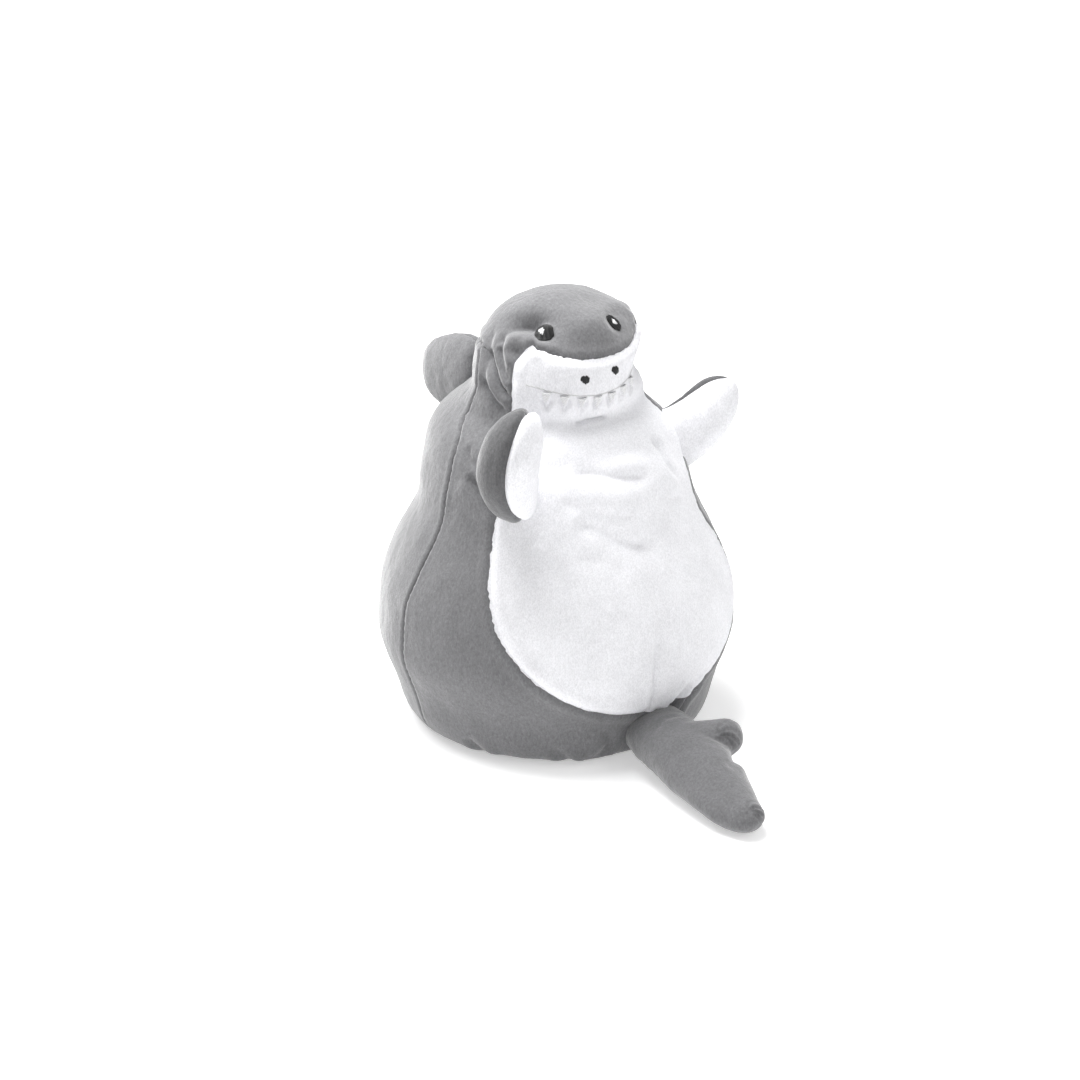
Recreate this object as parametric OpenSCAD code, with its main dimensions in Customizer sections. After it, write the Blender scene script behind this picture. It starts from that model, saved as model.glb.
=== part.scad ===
// Plush shark, sitting upright with its tail laid out in front of it.
// Millimetres, +Z up. The origin is the centre of the flat base, the shark faces -Y
// and its left side is +X. Angles round the torso are measured from the front.

/* [Torso] */
// Height of the torso, from the base to the neck
torso_h = 122; // [112:1:132]
// Radius of the torso where it is widest
torso_r = 66; // [60:1:74]
// Height at which the torso is widest
widest_z = 36; // [30:1:42]
// Radius of the flat base
base_r = 50; // [44:1:56]
// Radius of the torso at the neck
neck_r = 39.5; // [36:0.5:44]
// How the torso narrows towards the neck, 1 is a straight cone
shoulder_curve = 1.35; // [1.2:0.05:1.8]
// How far the neck lies behind the middle of the base
lean = 2.5; // [0:0.5:4]

/* [Fabric] */
// Thickness of the plush, pile and backing together
skin = 2; // [1.5:0.1:2.5]
// Clearance between parts that move against each other
gap = 0.3; // [0.2:0.05:0.5]

/* [Belly] */
// Half angle of the belly panel where it is widest
belly_angle = 60; // [50:1:68]
// Height of the belly panel's rounded lower end
belly_low = 20; // [16:1:21]
// Height over which the belly panel widens
belly_round = 62; // [50:1:75]
// Angle of the back seams, which part the side panels from the back panels
back_angle = 93; // [85:1:105]

/* [Head] */
// Height of the crown above the nod pivot
crown_h = 36.5; // [32:0.5:44]
// Half width of the head
head_half_w = 33; // [30:0.5:34]
// Reach of the face in front of the nod pivot
face_reach = 29.5; // [27:0.5:32]
// Reach of the back of the head behind the nod pivot
nape_reach = 29; // [26:0.5:32]
// Height of the nod pivot above the neck rim
pivot_lift = 8; // [6:0.5:11]
// How far the nod pivot lies in front of the neck's middle
pivot_forward = 3; // [0:0.5:3.5]
// Turn of the head towards the shark's right
head_turn = 4; // [-8:1:8]
// Half angle of the white muzzle panel
muzzle_angle = 68; // [60:1:74]
// Rise of the muzzle panel's top edge at the middle, seen from the nod pivot
muzzle_rise = 29; // [24:1:34]
// How much higher that edge is at the corners of the smile
smile_lift = 6; // [4:1:12]
// Angle of the gill seams, which part the cheeks from the nape
gill_angle = 106; // [98:1:112]

/* [Face] */
// Radius of an embroidered eye
eye_r = 3.3; // [2.5:0.1:4]
// Angle of the eyes from the front
eye_angle = 50; // [44:1:58]
// Rise of the eyes above the nod pivot
eye_rise = 46; // [43:1:54]
// Radius of the white stitch in an eye
highlight_r = 0.9; // [0.6:0.1:1.2]
// Radius of an embroidered nostril
nostril_r = 1.6; // [1.2:0.1:2.2]
// Angle of the nostrils from the front
nostril_angle = 15; // [10:1:20]
// Rise of the nostrils above the nod pivot
nostril_rise = 18; // [17:1:23]
// Radius of an embroidery line
thread_r = 0.5; // [0.4:0.05:0.7]
// Half angle of the mouth line
mouth_angle = 54; // [46:1:60]
// Rise of the mouth line at the middle
mouth_rise = 8; // [6:1:12]
// How much higher the mouth line is at its ends
mouth_lift = 5; // [3:1:8]
// Number of teeth
tooth_count = 9; // [5:2:11]
// Length of a tooth, as an angle seen from the nod pivot
tooth_drop = 8.5; // [6:0.5:11]

/* [Pectoral fins] */
// Length of a pectoral fin, from its root's middle to its tip
fin_len = 35; // [28:1:42]
// Length of the seam at a fin's root
fin_root_w = 24; // [18:1:28]
// Width of a fin at its tip, along the torso
fin_tip_w = 18; // [14:1:22]
// Thickness of a pectoral fin
fin_th = 17; // [12:0.5:19]
// Angle of the fins round the torso
fin_angle = 57; // [50:1:68]
// Height of the middle of the fin roots
fin_z = 100; // [88:1:104]
// Angle at which the left fin is raised
fin_raise_left = 52; // [35:1:66]
// Angle at which the right fin is raised
fin_raise_right = 68; // [35:1:72]

/* [Dorsal fin] */
// Length of the dorsal fin, root to tip
dorsal_len = 34; // [26:1:40]
// Width of the dorsal fin at its root
dorsal_root_w = 34; // [26:1:38]
// Width of the dorsal fin at its tip
dorsal_tip_w = 20; // [14:1:24]
// Thickness of the dorsal fin
dorsal_th = 15; // [11:0.5:17]
// Height of the dorsal fin's root
dorsal_z = 112; // [104:1:114]
// Angle by which the dorsal fin droops
dorsal_droop = 10; // [0:1:20]

/* [Tail] */
// Radius of the tail's root
tail_root_r = 13; // [10:0.5:14.5]
// Length of the tail, from the wag pivot to the tip of the long lobe
tail_len = 55; // [48:1:64]
// Half height of the tail stem in front of the lobes
stem_half_h = 8; // [6.5:0.5:9]
// Half width of the long lobe
lobe_half_w = 12; // [9:0.5:14]
// Sideways bend of the long lobe's tip, towards the shark's right
tail_bend_x = 12; // [0:1:16]
// Length of the short lobe
short_lobe_len = 25; // [22:1:30]
// Width of the short lobe
short_lobe_w = 19; // [16:1:22]
// Thickness of the short lobe
short_lobe_th = 13; // [10:0.5:15]
// Lean of the short lobe towards the shark's left
short_lobe_lean = 50; // [35:1:60]

/* [Weighted pouch] */
// Radius of the pouch of pellets in the base
pouch_r = 40; // [30:1:42]
// Height of the pouch
pouch_h = 18; // [12:1:22]
// Wall of the pouch
pouch_wall = 0.8; // [0.6:0.1:1.2]
// Stuffing under the pouch
pouch_lift = 4; // [3:0.5:6]

/* [Hidden] */

grey = [0.58, 0.58, 0.6];
white = [0.95, 0.95, 0.94];
black = [0.06, 0.06, 0.07];
fibre = [0.9, 0.88, 0.82];
bag = [0.75, 0.73, 0.68];
bead = [0.7, 0.76, 0.8];

// Cells of the torso and head grids: belly, side and back, each for one half
belly_cells = 6;
side_cells = 4;
back_cells = 7;
around = 2 * (belly_cells + side_cells + back_cells);
lower_rows = 8;
upper_rows = 8;
// First row of cells that the belly panel takes, and the last row of all panels
belly_row = 7;
torso_rows = lower_rows + upper_rows;
belly_min = 12;
bowl_rows = 6;

pivot = [0, lean - pivot_forward, torso_h + pivot_lift];
// The neck keeps a rim of stuffing round the head's ball
neck_rim = 1.5;
ball_r = neck_r - skin - pivot_forward - neck_rim;
head_low = -40;
head_rows_low = 5;
head_rows_cheek = 6;
head_rows_crown = 6;
seat = 0.06;

// ---------- closed grids: a pole, rings of n points, and a second pole ----------

function flat(rows) = [for (row = rows) for (p = row) p];
function layer(grid) = concat([grid[0]], flat(grid[1]), [grid[2]]);
function rows_of(grid) = len(grid[1]) + 1;
function turn_of(grid) = len(grid[1][0]);

function corner(n, m, j, k) = j == 0 ? 0 : j == m ? 1 + (m - 1) * n : 1 + (j - 1) * n + (k + n) % n;

function cell_faces(n, m, j, k) =
    let(a = corner(n, m, j, k), b = corner(n, m, j, k + 1))
    let(c = corner(n, m, j + 1, k + 1), d = corner(n, m, j + 1, k))
    concat(j == m - 1 ? [] : [[a, d, c]], j == 0 ? [] : [[a, c, b]]);

function turned(faces, shift) = [for (f = faces) [f[2] + shift, f[1] + shift, f[0] + shift]];

// Wall between the outer edge p-q and the inner edge below it
function wall(p, q, shift) = [[p, q, q + shift], [p, q + shift, p + shift]];
function wall_back(p, q, shift) = [[p, q + shift, q], [p, p + shift, q + shift]];

function cell_walls(n, m, j, k, shift, has) =
    let(a = corner(n, m, j, k), b = corner(n, m, j, k + 1))
    let(c = corner(n, m, j + 1, k + 1), d = corner(n, m, j + 1, k))
    concat(
        j == 0 || has(j - 1, k) ? [] : wall(a, b, shift),
        j == m - 1 || has(j + 1, k) ? [] : wall_back(d, c, shift),
        has(j, (k + n - 1) % n) ? [] : wall_back(a, d, shift),
        has(j, (k + 1) % n) ? [] : wall(b, c, shift));

// The closed solid inside a grid
module grid_solid(grid) {
    n = turn_of(grid);
    m = rows_of(grid);
    faces = [for (j = [0 : m - 1]) for (k = [0 : n - 1]) each cell_faces(n, m, j, k)];
    polyhedron(points = layer(grid), faces = faces);
}

// A fabric panel: the cells that has(row, column) names, between two grids
module grid_panel(outer, inner, has) {
    n = turn_of(outer);
    m = rows_of(outer);
    top = layer(outer);
    shift = len(top);
    cells = [for (j = [0 : m - 1]) for (k = [0 : n - 1]) if (has(j, k)) [j, k]];
    faces = [for (c = cells) each concat(
        cell_faces(n, m, c[0], c[1]),
        turned(cell_faces(n, m, c[0], c[1]), shift),
        cell_walls(n, m, c[0], c[1], shift, has))];
    polyhedron(points = concat(top, layer(inner)), faces = faces);
}

// ---------- torso ----------

// Profile of the torso as [radius, height], and its outward normal
function lower_profile(a) = [base_r + (torso_r - base_r) * sin(a), widest_z * (1 - cos(a))];
function lower_normal(a) = unit([widest_z * sin(a), -(torso_r - base_r) * cos(a)]);
function upper_profile(u) =
    [torso_r - (torso_r - neck_r) * pow(u, shoulder_curve), widest_z + (torso_h - widest_z) * u];
function upper_slope(u) =
    (torso_r - neck_r) * shoulder_curve * pow(u, shoulder_curve - 1) / (torso_h - widest_z);
function upper_normal(u) = unit([1, upper_slope(u)]);
function unit(v) = v / norm(v);

torso_profile = concat(
    [for (i = [0 : lower_rows]) lower_profile(90 * i / lower_rows)],
    [for (i = [1 : upper_rows]) upper_profile(i / upper_rows)]);
torso_normal = concat(
    [for (i = [0 : lower_rows]) lower_normal(90 * i / lower_rows)],
    [for (i = [1 : upper_rows]) upper_normal(i / upper_rows)]);

function belly_half(z) =
    let(short = 1 - min(1, max(0, (z - belly_low) / belly_round)))
    max(belly_min, belly_angle * sqrt(1 - short * short));

// Angles of the grid lines round one ring, from the belly panel's right edge
function ring_angles(front, back) = concat(
    [for (i = [0 : 2 * belly_cells - 1]) front * (i / belly_cells - 1)],
    [for (i = [0 : side_cells - 1]) front + (back - front) * i / side_cells],
    [for (i = [0 : 2 * back_cells - 1]) back + (180 - back) * i / back_cells],
    [for (i = [0 : side_cells - 1]) 360 - back + (back - front) * i / side_cells]);

function ring(angles, r, z, y) = [for (a = angles) [r * sin(a), y - r * cos(a), z]];

function torso_ring(row, depth) =
    let(p = torso_profile[row] - depth * torso_normal[row])
    ring(ring_angles(belly_half(torso_profile[max(row, belly_row - 1)][1]), back_angle),
        p[0], p[1], lean * torso_profile[row][1] / torso_h);

// The bowl in the top of the torso that the head's ball turns in. Its flat facets
// stand inside its true radius, so it has a little more room.
facet_room = 0.35;
bowl_r = ball_r + gap + facet_room;
rim_z = (torso_profile[torso_rows] - skin * torso_normal[torso_rows])[1];
bowl_edge = asin((rim_z - pivot[2]) / bowl_r);

function bowl_ring(i) =
    let(e = bowl_edge + (-90 - bowl_edge) * i / bowl_rows)
    ring(ring_angles(belly_half(torso_h), back_angle),
        bowl_r * cos(e), pivot[2] + bowl_r * sin(e), pivot[1]);

function torso_grid(depth) = [
    [0, 0, depth],
    concat([for (row = [0 : torso_rows]) torso_ring(row, depth)],
        [for (i = [0 : bowl_rows - 1]) bowl_ring(i)]),
    [0, pivot[1], pivot[2] - bowl_r]];

first_side = 2 * belly_cells;
first_back = first_side + side_cells;
middle_back = first_back + back_cells;
last_back = middle_back + back_cells;

in_panel_rows = function(j) j >= 1 && j <= torso_rows;
in_belly = function(j, k) in_panel_rows(j) && j >= belly_row && k < first_side;
in_side_left = function(j, k) in_panel_rows(j)
    && ((k >= first_side && k < first_back) || (j < belly_row && k >= belly_cells && k < first_side));
in_side_right = function(j, k) in_panel_rows(j)
    && (k >= last_back || (j < belly_row && k < belly_cells));
in_back_left = function(j, k) in_panel_rows(j) && k >= first_back && k < middle_back;
in_back_right = function(j, k) in_panel_rows(j) && k >= middle_back && k < last_back;

module torso_panel(has) {
    grid_panel(torso_grid(0), torso_grid(skin), has);
}

module belly_panel() {
    color(white) torso_panel(in_belly);
}
module side_panel_left() {
    color(grey) torso_panel(in_side_left);
}
module side_panel_right() {
    color(grey) torso_panel(in_side_right);
}
module back_panel_left() {
    color(grey) torso_panel(in_back_left);
}
module back_panel_right() {
    color(grey) torso_panel(in_back_right);
}

// The flat disc that the shark sits on
module base_panel() {
    color(grey) linear_extrude(skin) polygon([for (p = torso_ring(0, 0)) [p[0], p[1]]]);
}

module torso_stuffing() {
    color(fibre) difference() {
        grid_solid(torso_grid(skin));
        pouch_shape(0);
    }
}

// ---------- weighted pouch ----------

module pouch_shape(inset) {
    round_r = pouch_h / 2;
    translate([0, 0, skin + pouch_lift + round_r]) rotate_extrude($fn = 64) {
        translate([0, -round_r + inset]) square([pouch_r - round_r, pouch_h - 2 * inset]);
        intersection() {
            translate([pouch_r - round_r, 0]) circle(round_r - inset, $fn = 32);
            translate([pouch_r - round_r, -round_r]) square([round_r, pouch_h]);
        }
    }
}

module pellet_pouch() {
    color(bag) difference() {
        pouch_shape(0);
        pouch_shape(pouch_wall);
    }
}

module pellets() {
    color(bead) pouch_shape(pouch_wall);
}

// ---------- head ----------

function smooth(t) = let(c = min(1, max(0, t))) c * c * (3 - 2 * c);

// Distance from the nod pivot to the head's surface in the direction [angle, rise]
function dome_r(a, e) =
    let(fore = cos(a) > 0 ? face_reach : nape_reach)
    1 / norm([cos(e) * sin(a) / head_half_w, cos(e) * cos(a) / fore, sin(e) / crown_h]);
ball_end = -8;
dome_start = 14;
function head_r(a, e) =
    e <= ball_end ? ball_r
    : let(t = smooth((e - ball_end) / (dome_start - ball_end))) ball_r + (dome_r(a, e) - ball_r) * t;
function facing(a, e) = [cos(e) * sin(a - head_turn), -cos(e) * cos(a - head_turn), sin(e)];
function head_point(a, e, lift) = pivot + (head_r(a, e) + lift) * facing(a, e);

// Rise of the muzzle panel's top edge, which curves up like a smile
function muzzle_edge(a) =
    let(side = min(1, abs(a > 180 ? a - 360 : a) / muzzle_angle))
    muzzle_rise + smile_lift * side * side;

head_angles = ring_angles(muzzle_angle, gill_angle);
function head_ring(share_low, share_high, depth) = [for (a = head_angles)
    head_point(a, head_low * (1 - share_low) + muzzle_edge(a) * (share_low - share_high)
        + 90 * share_high, -depth)];

function head_grid(depth) = [
    pivot - [0, 0, ball_r],
    concat(
        [for (i = [1 : head_rows_low])
            ring([for (a = head_angles) a - head_turn], ball_r * cos(-90 + (90 + head_low) * i / head_rows_low),
                pivot[2] + ball_r * sin(-90 + (90 + head_low) * i / head_rows_low), pivot[1])],
        [for (i = [0 : head_rows_cheek]) head_ring(i / head_rows_cheek, 0, depth)],
        [for (i = [1 : head_rows_crown - 1]) head_ring(1, i / head_rows_crown, depth)]),
    pivot + [0, 0, crown_h - depth]];

// The first row of cells that the fabric takes, and the first above the muzzle's edge
head_first = head_rows_low + 1;
crown_first = head_first + head_rows_cheek;

in_muzzle = function(j, k) j >= head_first && j < crown_first && k < first_side;
in_cheek_left = function(j, k) j >= head_first && j < crown_first && k >= first_side && k < first_back;
in_cheek_right = function(j, k) j >= head_first && j < crown_first && k >= last_back;
in_crown = function(j, k) j >= crown_first || (j >= head_first && k >= first_back && k < last_back);

module head_panel(has) {
    grid_panel(head_grid(0), head_grid(skin), has);
}

module head_crown() {
    color(grey) head_panel(in_crown);
}
module muzzle_panel() {
    color(white) head_panel(in_muzzle);
}
module cheek_left() {
    color(grey) head_panel(in_cheek_left);
}
module cheek_right() {
    color(grey) head_panel(in_cheek_right);
}
module head_stuffing() {
    color(fibre) grid_solid(head_grid(skin));
}

// ---------- embroidery ----------

// Puts its children on the face, with +Z along the fabric's normal
module on_face(a, e, lift) {
    step = 1;
    across = head_point(a + step, e, 0) - head_point(a - step, e, 0);
    upward = head_point(a, e + step, 0) - head_point(a, e - step, 0);
    out = unit(cross(across, upward));
    translate(head_point(a, e, 0) + lift * out)
        rotate([0, acos(out[2]), atan2(out[1], out[0])])
            children();
}

module patch(a, e, r, lift, th) {
    on_face(a, e, lift) cylinder(r = r, h = th, $fn = 32);
}

eye_th = 1;
highlight_th = 0.4;
module eye(side) {
    color(black) patch(side * eye_angle, eye_rise, eye_r, seat, eye_th);
}
module eye_left() {
    eye(1);
}
module eye_right() {
    eye(-1);
}
module eye_highlight(side) {
    color(white) on_face(side * eye_angle, eye_rise, seat + eye_th)
        translate([-eye_r / 3, 0, 0]) cylinder(r = highlight_r, h = highlight_th, $fn = 24);
}
module eye_highlight_left() {
    eye_highlight(1);
}
module eye_highlight_right() {
    eye_highlight(-1);
}
module nostril(side) {
    color(black) patch(side * nostril_angle, nostril_rise, nostril_r, seat, eye_th);
}
module nostril_left() {
    nostril(1);
}
module nostril_right() {
    nostril(-1);
}

// A thread laid along directions [angle, rise] on the face. The face slopes under the
// mouth, so the thread is lifted a little more than its radius.
thread_sides = 6;
thread_lift = thread_r * 1.8 + seat;
function thread_grid(path) =
    let(points = [for (p = path) head_point(p[0], p[1], thread_lift)])
    let(last = len(points) - 1)
    [points[0],
        [for (i = [0 : last])
            let(along = unit(points[min(last, i + 1)] - points[max(0, i - 1)]))
            let(out = unit(facing(path[i][0], path[i][1])))
            let(over = unit(cross(out, along)))
            [for (s = [0 : thread_sides - 1])
                points[i] + thread_r * (cos(360 * s / thread_sides) * out
                    - sin(360 * s / thread_sides) * over)]],
        points[last]];

function mouth_at(a) = mouth_rise + mouth_lift * pow(a / mouth_angle, 2);
mouth_steps = 24;

module mouth_stitch() {
    color(fibre) grid_solid(thread_grid([for (i = [0 : mouth_steps])
        let(a = mouth_angle * (2 * i / mouth_steps - 1)) [a, mouth_at(a)]]));
}

// Each tooth is a V of thread that hangs just under the mouth line
module teeth_stitch() {
    pitch = 2 * mouth_angle / (tooth_count + 1);
    half = pitch * 0.32;
    below = 3;
    color(fibre) for (i = [1 : tooth_count]) {
        a = -mouth_angle + pitch * i;
        top = mouth_at(a) - below;
        grid_solid(thread_grid([[a - half, top], [a - half / 2, top - tooth_drop / 2],
            [a, top - tooth_drop], [a + half / 2, top - tooth_drop / 2], [a + half, top]]));
    }
}

// ---------- fins: flat pillows along +Z, wide in X, thin in Y ----------

pillow_turn = 20;
pillow_rows = 12;
pillow_power = 2.5;
sweep_power = 1.2;
function pillow_round(u) = pow(1 - pow(abs(2 * u - 1), pillow_power), 1 / pillow_power);
function pillow_u(i) = (1 - cos(180 * i / pillow_rows)) / 2;

// size is [length, root width, tip width, thickness, sweep of the tip along X]
function pillow_grid(size, depth) =
    let(slide = function(z) size[4] * pow(z / size[0], sweep_power))
    [[slide(depth), 0, depth],
    [for (i = [1 : pillow_rows - 1])
        let(u = pillow_u(i), z = depth + (size[0] - 2 * depth) * u)
        let(w = ((size[1] + (size[2] - size[1]) * u) / 2 - depth) * pillow_round(u))
        let(h = (size[3] / 2 - depth) * pillow_round(u))
        [for (k = [0 : pillow_turn - 1])
            [slide(z) + w * cos(360 * k / pillow_turn), h * sin(360 * k / pillow_turn), z]]],
    [slide(size[0] - depth), 0, size[0] - depth]];

in_far_half = function(j, k) k < pillow_turn / 2;
in_near_half = function(j, k) k >= pillow_turn / 2;

module pillow_panel(size, has) {
    grid_panel(pillow_grid(size, 0), pillow_grid(size, skin), has);
}
module pillow_fill(size) {
    grid_solid(pillow_grid(size, skin));
}

// Place on the torso's upper profile at height z: [radius, height], and its normal
function seat_point(z) = upper_profile((z - widest_z) / (torso_h - widest_z));
function seat_normal(z) = upper_normal((z - widest_z) / (torso_h - widest_z));
function seat_tilt(z) = let(n = seat_normal(z)) atan2(n[1], n[0]);

// A fin's size, from its length and the angle it is raised above the torso's normal
function swept(length, raise, root_w, tip_w, th) =
    [length * cos(raise), root_w, tip_w, th, length * sin(raise)];

// Stands a pillow on the torso at an angle and a height, swept towards the neck.
// It turns about the line through the middle of its rounded root.
module on_torso(angle, z) {
    root = seat_point(z) + gap * seat_normal(z);
    translate([0, lean * z / torso_h, 0]) rotate([0, 0, angle - 90]) translate([root[0], 0, root[1]])
        rotate([0, 90 - seat_tilt(z), 0]) mirror([1, 0, 0]) mirror([0, 1, 0]) children();
}

left_fin_size = swept(fin_len, fin_raise_left - seat_tilt(fin_z), fin_root_w, fin_tip_w, fin_th);
right_fin_size = swept(fin_len, fin_raise_right - seat_tilt(fin_z), fin_root_w, fin_tip_w, fin_th);
dorsal_size = swept(dorsal_len, -dorsal_droop - seat_tilt(dorsal_z), dorsal_root_w,
    dorsal_tip_w, dorsal_th);

module left_fin() {
    on_torso(fin_angle, fin_z) children();
}
module right_fin() {
    mirror([1, 0, 0]) on_torso(fin_angle, fin_z) children();
}
module fin_left_outer() {
    color(grey) left_fin() pillow_panel(left_fin_size, in_near_half);
}
module fin_left_inner() {
    color(white) left_fin() pillow_panel(left_fin_size, in_far_half);
}
module fin_left_stuffing() {
    color(fibre) left_fin() pillow_fill(left_fin_size);
}
module fin_right_outer() {
    color(grey) right_fin() pillow_panel(right_fin_size, in_near_half);
}
module fin_right_inner() {
    color(white) right_fin() pillow_panel(right_fin_size, in_far_half);
}
module fin_right_stuffing() {
    color(fibre) right_fin() pillow_fill(right_fin_size);
}

module dorsal() {
    on_torso(180, dorsal_z) children();
}
module dorsal_left_panel() {
    color(grey) dorsal() pillow_panel(dorsal_size, in_far_half);
}
module dorsal_right_panel() {
    color(grey) dorsal() pillow_panel(dorsal_size, in_near_half);
}
module dorsal_stuffing() {
    color(fibre) dorsal() pillow_fill(dorsal_size);
}

// ---------- tail ----------

tail_turn = 20;
tail_rows = 16;
// The tail's root ball touches the torso all but the clearance
tail_y = -max([for (a = [0 : 3 : 90])
    let(p = lower_profile(a), room = pow(tail_root_r + gap, 2) - pow(p[1] - tail_root_r, 2))
    p[0] - lean * p[1] / torso_h + sqrt(max(0, room))]);

// Half width and half height along the tail: root ball, stem, long lobe, tip
function tail_half_w(u) = lookup(u, [[0, tail_root_r], [0.25, tail_root_r * 0.85],
    [0.5, lobe_half_w * 0.92], [0.7, lobe_half_w], [0.85, lobe_half_w * 0.85], [1, lobe_half_w * 0.55]]);
function tail_half_h(u) = lookup(u, [[0, tail_root_r], [0.25, tail_root_r * 0.85], [0.5, stem_half_h],
    [0.8, stem_half_h * 0.8], [1, stem_half_h * 0.6]]);

// Row i of the tail: share of its length, and how much of its size is left there
tail_cap_rows = 4;
tip_round_u = 0.12;
function tail_s(i) = i <= tail_cap_rows
    ? -tail_root_r * cos(90 * i / tail_cap_rows)
    : tail_len * (1 - pow(1 - (i - tail_cap_rows) / (tail_rows - tail_cap_rows), 1.4));
function tail_fill(i) = i <= tail_cap_rows ? sin(90 * i / tail_cap_rows)
    : let(left = 1 - tail_s(i) / tail_len) sqrt(1 - pow(1 - min(1, left / tip_round_u), 2));
function tail_centre(s) =
    let(u = max(0, s) / tail_len)
    [-tail_bend_x * u * u, tail_y - s, tail_half_h(u)];

function tail_ring(i, depth) =
    let(s = tail_s(i), u = max(0, s) / tail_len, c = tail_centre(s))
    let(w = (tail_half_w(u) - depth) * tail_fill(i), h = (tail_half_h(u) - depth) * tail_fill(i))
    let(y = c[1] + (i < tail_cap_rows ? -depth * cos(90 * i / tail_cap_rows) : depth * u))
    [for (k = [0 : tail_turn - 1])
        [c[0] - w * sin(360 * k / tail_turn), y, c[2] + h * cos(360 * k / tail_turn)]];

function tail_grid(depth) = [
    [0, tail_y + tail_root_r - depth, tail_root_r],
    [for (i = [1 : tail_rows - 1]) tail_ring(i, depth)],
    tail_centre(tail_len) + [0, depth, 0]];

in_tail_left = function(j, k) k >= tail_turn / 2;
in_tail_right = function(j, k) k < tail_turn / 2;

module tail_left_panel() {
    color(grey) grid_panel(tail_grid(0), tail_grid(skin), in_tail_left);
}
module tail_right_panel() {
    color(grey) grid_panel(tail_grid(0), tail_grid(skin), in_tail_right);
}
module tail_stuffing() {
    color(fibre) grid_solid(tail_grid(skin));
}

// The short lobe stands up out of the tail, where the long lobe begins
short_lobe_size = [short_lobe_len, short_lobe_w, short_lobe_w * 0.7, short_lobe_th, 0];
short_lobe_share = 0.17;
short_lobe_rake = 42;
module short_lobe() {
    difference() {
        translate(tail_centre(tail_len * short_lobe_share))
            rotate([short_lobe_rake, short_lobe_lean, 0]) rotate([0, 0, 90]) children();
        grid_solid(tail_grid(0));
    }
}
module tail_lobe_left_panel() {
    color(grey) short_lobe() pillow_panel(short_lobe_size, in_near_half);
}
module tail_lobe_right_panel() {
    color(grey) short_lobe() pillow_panel(short_lobe_size, in_far_half);
}
module tail_lobe_stuffing() {
    color(fibre) short_lobe() pillow_fill(short_lobe_size);
}

belly_panel();
side_panel_left();
side_panel_right();
back_panel_left();
back_panel_right();
base_panel();
torso_stuffing();
pellet_pouch();
pellets();
head_crown();
muzzle_panel();
cheek_left();
cheek_right();
head_stuffing();
eye_left();
eye_right();
eye_highlight_left();
eye_highlight_right();
nostril_left();
nostril_right();
mouth_stitch();
teeth_stitch();
fin_left_outer();
fin_left_inner();
fin_left_stuffing();
fin_right_outer();
fin_right_inner();
fin_right_stuffing();
dorsal_left_panel();
dorsal_right_panel();
dorsal_stuffing();
tail_left_panel();
tail_right_panel();
tail_stuffing();
tail_lobe_left_panel();
tail_lobe_right_panel();
tail_lobe_stuffing();
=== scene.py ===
"""Looks of the plush shark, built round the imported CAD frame. Shapes are worked out in
millimetres and turned into metres when a mesh is made. The shark faces -Y."""
import math

import bpy
import numpy as np
from mathutils import Matrix, Vector


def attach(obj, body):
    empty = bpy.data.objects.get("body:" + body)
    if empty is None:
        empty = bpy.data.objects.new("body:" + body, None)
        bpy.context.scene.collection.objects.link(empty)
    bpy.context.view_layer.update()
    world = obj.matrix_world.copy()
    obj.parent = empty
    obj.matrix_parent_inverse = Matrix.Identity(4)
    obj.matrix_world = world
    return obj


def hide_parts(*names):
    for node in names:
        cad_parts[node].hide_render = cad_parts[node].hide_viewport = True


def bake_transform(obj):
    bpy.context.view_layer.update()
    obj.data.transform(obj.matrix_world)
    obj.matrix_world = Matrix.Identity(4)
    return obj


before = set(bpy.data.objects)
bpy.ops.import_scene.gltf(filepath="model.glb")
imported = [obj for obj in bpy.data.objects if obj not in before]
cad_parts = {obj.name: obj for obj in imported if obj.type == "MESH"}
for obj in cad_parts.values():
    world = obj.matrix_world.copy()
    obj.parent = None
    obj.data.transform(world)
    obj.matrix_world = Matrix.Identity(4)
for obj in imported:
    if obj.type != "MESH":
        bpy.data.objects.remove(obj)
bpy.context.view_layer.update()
MM = 0.001
DEG = np.pi / 180

# ---------- sizes of the CAD part, in millimetres ----------
TORSO_H, TORSO_R, WIDEST_Z, BASE_R, NECK_R = 122, 66, 36, 50, 39.5
SHOULDER_CURVE, LEAN, SKIN = 1.35, 2.5, 2.0
PIVOT = np.array([0, -0.5, 130])
BALL_R, BOWL_R = 33.0, 33.65
POUCH_R, POUCH_H, POUCH_LIFT = 40, 18, 4
DORSAL_Z = 112

# ---------- shape of the head ----------
HEAD_Z, HEAD_Y, HEAD_TURN, DOME_POWER = 132, -1.5, 1, 2.05
HEAD_W, HEAD_FRONT, HEAD_BACK, HEAD_UP = 32.3, 29.5, 29, 33.0
TOP_H = HEAD_Z + HEAD_UP
CROWN_DROP = 1.4
# Levels where the torso turns into the head, and of the hollows and bulges round the body
NECK_START, CHIN_H, WAIST_H, HIP_H, SEAT_H, NAPE_BULGE_H = 106, 121, 84, 54, 17, 119
# Upper edge of the white muzzle: level at the middle, and angle and level of its two tips
SMILE_H, TIP_A = 140.6, 55
TIP_H = {-1: 144.0, 1: 144.2}
NAPE_H, CHEEK_H = 141, 131.0
BELLY_LOW, BELLY_ROUND, BELLY_A = 20, 62, 60

# ---------- fabric, in millimetres ----------
PANEL_THICK, FIN_THICK, TOOTH_THICK, SPOT_THICK = 1.5, 1.3, 0.7, 0.6
FIN_SEAM, FILL_INSET, BOWL_ROOM, STITCH_PITCH = 0.9, 2.6, 0.4, 3.5
FIN_TURN = 120


def smooth(t):
    t = np.clip(t, 0, 1)
    return t * t * (3 - 2 * t)


def unit(v):
    return v / np.maximum(np.linalg.norm(v, axis=-1, keepdims=True), 1e-9)


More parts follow.
